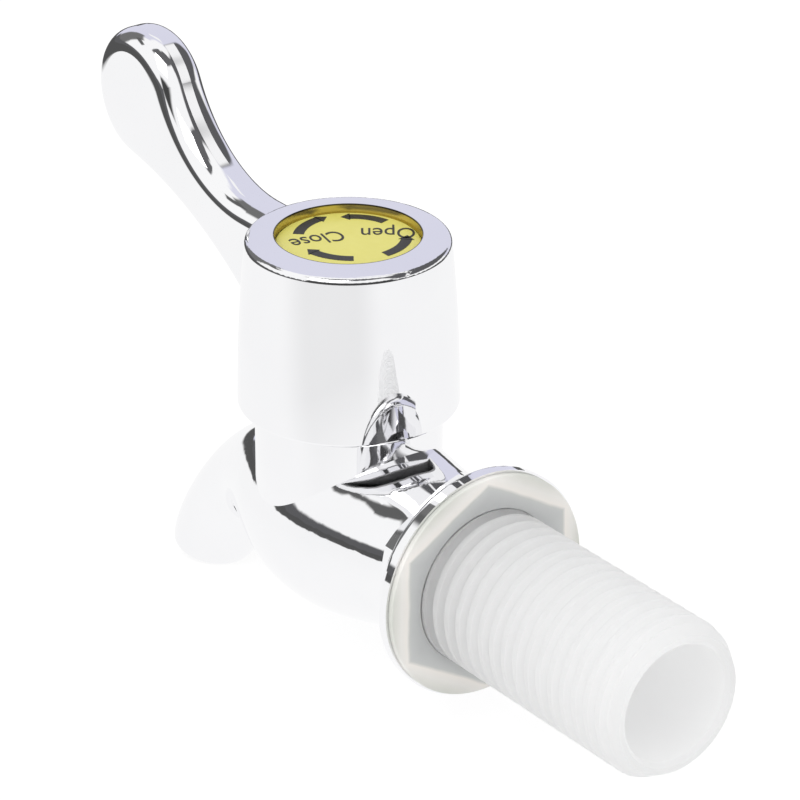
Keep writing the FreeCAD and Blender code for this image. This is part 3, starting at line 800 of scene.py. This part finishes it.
def window(tree, value, half, soft):
    """1 where a value in radians is within half of zero, falling to 0 over the soft margin.

    The half and the margin are in degrees.
    """
    half, soft = math.radians(half), math.radians(soft)
    settings = {"interpolation_type": "SMOOTHSTEP"}
    values = {
        "Value": tree.maths("ABSOLUTE", value), "From Min": half, "From Max": half + soft,
        "To Min": 1.0, "To Max": 0.0,
    }
    return tree.node("ShaderNodeMapRange", settings, values)


def bearing_window(tree, x, y, azimuth, half, soft):
    """1 within half of an azimuth round the vertical axis, in degrees."""
    cosine, sine = math.cos(math.radians(azimuth)), math.sin(math.radians(azimuth))
    bearing = tree.maths("ARCTAN2", y * cosine - x * sine, x * cosine + y * sine)
    return window(tree, bearing, half, soft)


def rays(tree, kind):
    """1 for rays of this kind."""
    return tree.node("ShaderNodeLightPath", output=f"Is {kind} Ray")


def set_world():
    """Plain light for matt surfaces; what polished ones mirror is a white room with its cards."""
    world = bpy.data.worlds.new("studio")
    bpy.context.scene.world = world
    tree = Tree(world)
    x, y, z = tree.split(tree.place("Generated"))
    elevation = tree.maths("ARCSINE", z)
    mirrored = grey(ROOM_LEVEL)
    for azimuth, half_width, height, half_height, soft, colour in CARDS:
        across = bearing_window(tree, x, y, azimuth, half_width, soft)
        upright = window(tree, elevation - math.radians(height), half_height, soft)
        mirrored = tree.mixed(across * upright, mirrored, colour)
    off_line = x * STREAK_POLE[0] + y * STREAK_POLE[1] + z * STREAK_POLE[2]
    line = window(tree, off_line, STREAK_HALF, STREAK_SOFT)
    across = bearing_window(tree, x, y, STREAK_AZIMUTH, STREAK_REACH, STREAK_SOFT)
    mirrored = tree.mixed(line * across, mirrored, grey(STREAK_LEVEL))

    def light(colour, strength):
        return tree.node("ShaderNodeBackground", inputs={"Color": colour, "Strength": strength})

    plain, room, seen = light(grey(1.0), PLAIN_LIGHT), light(mirrored, 1.0), light(grey(1.0), 1.0)
    lit = tree.node("ShaderNodeMixShader", inputs=(rays(tree, "Glossy"), plain, room))
    both = tree.node("ShaderNodeMixShader", inputs=(rays(tree, "Camera"), lit, seen))
    tree.finish("World", both)


def lay_floor(level):
    """A pale table; polished pieces mirror the white paper on it and the dim room past its edge."""
    bpy.ops.mesh.primitive_plane_add(size=FLOOR_SIZE, location=(0.0, 0.0, level))
    floor = bpy.context.object
    floor.name = "floor"
    material = bpy.data.materials.new("white_table")
    tree = Tree(material)
    place = tree.place()
    reach = tree.node("ShaderNodeVectorMath", {"operation": "LENGTH"}, [place], output="Value")
    x, y, _ = tree.split(place)
    shade = bearing_window(tree, x, y, SHADE_BEARING, SHADE_HALF, SHADE_SOFT)
    far = tree.between(reach, SHADE_NEAR, SHADE_FAR)
    white = 1.0 - far * (SHADE_ALL + SHADE_SIDE * shade)
    paper = white * tree.between(reach, PAPER_RADIUS, PAPER_FADE_TO, 1.0, PAPER_PAST_EDGE)

    def glow(strength):
        return tree.node("ShaderNodeEmission", inputs={"Color": grey(1.0), "Strength": strength})

    matt = tree.node("ShaderNodeBsdfDiffuse", inputs={"Color": grey(FLOOR_GREY)})
    share = rays(tree, "Camera") * FLOOR_GLOW_SHARE
    seen = tree.node("ShaderNodeMixShader", inputs=(share, matt, glow(FLOOR_GLOW)))
    both = tree.node("ShaderNodeMixShader", inputs=(rays(tree, "Glossy"), seen, glow(paper)))
    tree.finish("Material", both)
    paint(floor, material)


# Making of the tap

clear_white = tail_plastic()
washer_face = washer_rubber()
black = black_rubber()
acetal = white_acetal()
soft_seat = silicone()
steel = turned_steel()
finishes = {
    "valve_body": chrome(),
    "handle": handle_chrome(),
    "tail_tube": clear_white,
    "flange_washer": washer_face,
    "indicator_disc": yellow_print(),
    "tail_o_ring": black,
    "upper_o_ring": black,
    "lower_o_ring": black,
    "gland_o_ring": black,
    "rotor_plug": acetal,
    "thrust_washer": acetal,
    "gland_nut": acetal,
    "inlet_seat": soft_seat,
    "outlet_seat": soft_seat,
    "handle_screw": steel,
    "screw_washer": steel,
}
for node, material in finishes.items():
    for place in NODES[node].material_slots:
        place.material = material

threaded_tail(clear_white)
soft_washer(washer_face)

ink = dark_ink()
for name, sizes in ARROWS.items():
    arrow(name, *sizes, ink)
for name, sizes in WORDS.items():
    word(name, *sizes, ink)

set_camera()
set_world()
lay_floor(cad_box[0].z - FLOOR_DROP)
hang_key_lamp()

bpy.context.scene.view_settings.view_transform = "Standard"
